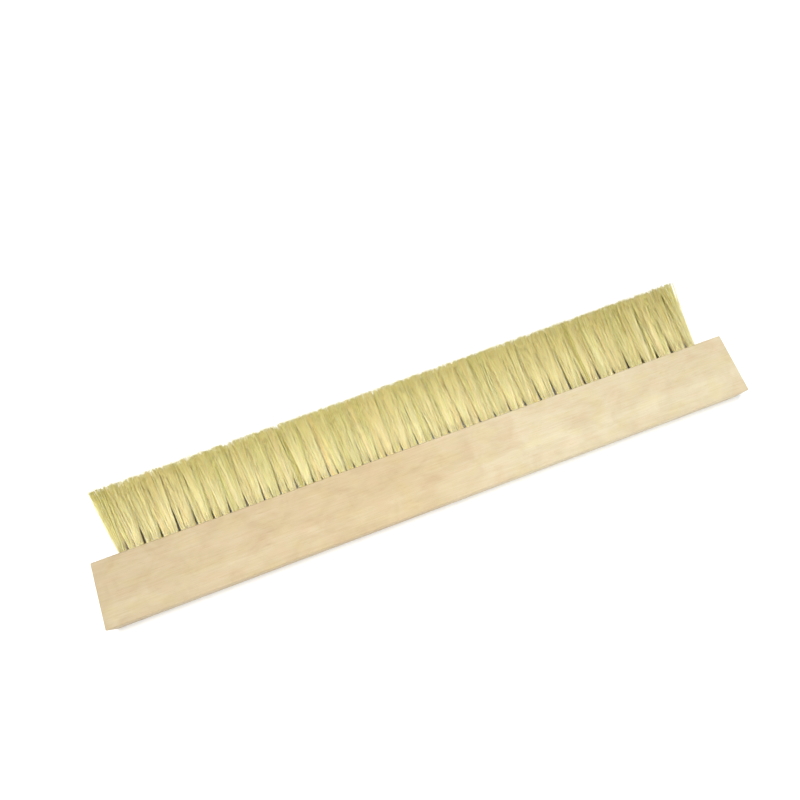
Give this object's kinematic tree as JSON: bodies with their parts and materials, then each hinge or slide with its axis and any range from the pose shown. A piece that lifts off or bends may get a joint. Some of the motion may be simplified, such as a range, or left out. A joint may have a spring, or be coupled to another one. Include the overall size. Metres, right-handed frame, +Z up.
{
  "type": "bee brush",
  "caption": "Long straight wooden stock with staggered rows of soft pale bristle tufts along one narrow edge, for brushing bees off a comb.",
  "frame": {"origin": "centre of the lower broad face of the wooden stock, on which the brush lies", "axes": "+X along the stock, +Y from its back edge out through the bristles, +Z up through its thickness"},
  "size_m": [0.4, 0.082, 0.016],
  "materials": {
    "stock_wood": "bare sanded pale wood",
    "bristle": "cream natural bristle, slightly glossy strands",
    "anchor_wire": "bright flat steel wire"
  },
  "bodies": {
    "root": {"lower_row_anchors": "anchor_wire", "tufts_01": "bristle", "tufts_02": "bristle", "tufts_03": "bristle", "tufts_04": "bristle", "tufts_05": "bristle", "tufts_06": "bristle", "tufts_07": "bristle", "tufts_08": "bristle", "tufts_09": "bristle", "tufts_10": "bristle", "tufts_11": "bristle", "tufts_12": "bristle", "tufts_13": "bristle", "tufts_14": "bristle", "tufts_15": "bristle", "tufts_16": "bristle", "tufts_17": "bristle", "tufts_18": "bristle", "tufts_19": "bristle", "tufts_20": "bristle", "tufts_21": "bristle", "tufts_22": "bristle", "tufts_23": "bristle", "tufts_24": "bristle", "tufts_25": "bristle", "tufts_26": "bristle", "tufts_27": "bristle", "tufts_28": "bristle", "tufts_29": "bristle", "tufts_30": "bristle", "tufts_31": "bristle", "tufts_32": "bristle", "tufts_33": "bristle", "tufts_34": "bristle", "tufts_35": "bristle", "tufts_36": "bristle", "tufts_37": "bristle", "upper_row_anchors": "anchor_wire", "wood_block": "stock_wood"}
  },
  "joints": []
}
